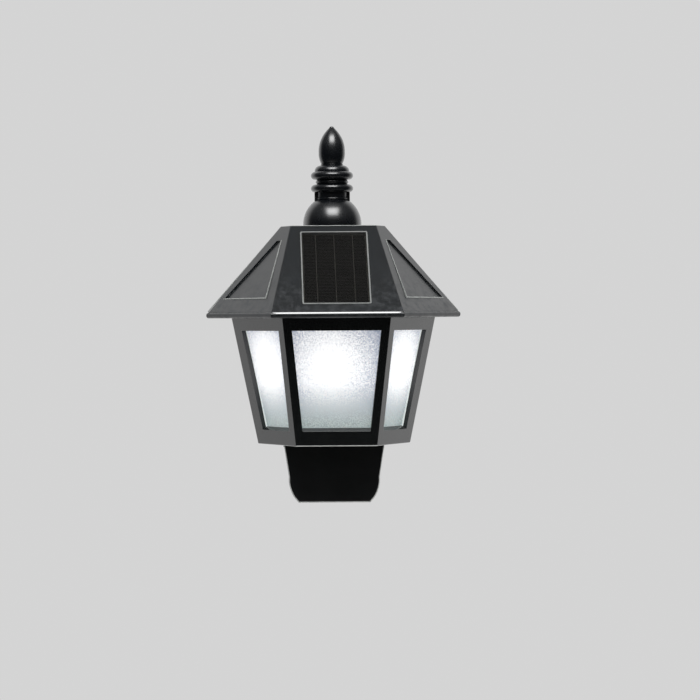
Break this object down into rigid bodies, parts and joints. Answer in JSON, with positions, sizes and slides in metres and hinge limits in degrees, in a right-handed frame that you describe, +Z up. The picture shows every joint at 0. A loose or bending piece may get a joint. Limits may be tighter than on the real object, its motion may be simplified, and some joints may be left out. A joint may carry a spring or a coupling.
{
  "type": "solar fence light",
  "caption": "Half coach lantern for a fence or wall: solar panel roof with a turned finial, frosted panes in a tapered frame, and a wall bracket with a tail.",
  "frame": {"origin": "on the wall plane, on the bracket's rear face, half way between the two wall screws", "axes": "+X right seen from the front, +Y into the wall, +Z up; the light stands out to -Y"},
  "size_m": [0.1682, 0.081, 0.2496],
  "materials": {
    "black_housing": "satin moulded black plastic",
    "bracket_black": "satin moulded black plastic",
    "frosted_pane": "frosted translucent acrylic",
    "clear_cover": "clear panel resin",
    "solar_cell": "dark amorphous cell",
    "panel_backing": "black laminate board",
    "grey_gasket": "light grey sealing rim",
    "inner_white": "white reflector plastic",
    "inner_black": "plain black plastic",
    "green_board": "green circuit board",
    "chip_black": "moulded chip package",
    "ferrite": "ferrite core",
    "lamp_lens": "clear lamp lens",
    "steel": "zinc plated steel",
    "cell_jacket": "plain shrink sleeve",
    "lead_black": "wire insulation",
    "lead_red": "wire insulation"
  },
  "bodies": {
    "wall": {"wall_bracket": "bracket_black"},
    "lantern": {"roof": "black_housing", "finial": "black_housing", "finial_screw": "steel", "panel_gasket": "grey_gasket", "panel_board": "panel_backing", "solar_cells": "solar_cell", "panel_cover": "clear_cover", "lantern_body": "black_housing", "front_pane": "frosted_pane", "right_pane": "frosted_pane", "left_pane": "frosted_pane", "back_cover": "inner_black", "cover_screws": "steel", "battery_cell": "cell_jacket", "battery_contact": "steel", "battery_spring": "steel", "spring_plate": "steel", "door_pin": "steel", "switch_body": "inner_black", "roof_tray": "inner_black", "tray_screws": "steel", "control_board": "green_board", "driver_chip": "chip_black", "inductor": "ferrite", "reflector": "inner_white", "led_board": "green_board", "led": "lamp_lens", "panel_leads": "lead_red", "battery_leads": "lead_red", "led_leads": "lead_black"},
    "battery_door": {"battery_door": "inner_black"},
    "switch_slider": {"switch_slider": "inner_white"}
  },
  "joints": [
    {"name": "lantern_lift", "type": "slide", "parent": "wall", "child": "lantern", "axis": [0, 0, 1], "range_m": [0, 0.0064]},
    {"name": "battery_door_hinge", "type": "hinge", "parent": "lantern", "child": "battery_door", "pos_m": [0.035, -0.0043, 0.0411], "axis": [1, 0, 0], "range_deg": [0, 100]},
    {"name": "switch_slide", "type": "slide", "parent": "lantern", "child": "switch_slider", "axis": [1, 0, 0], "range_m": [0, 0.0025]}
  ]
}
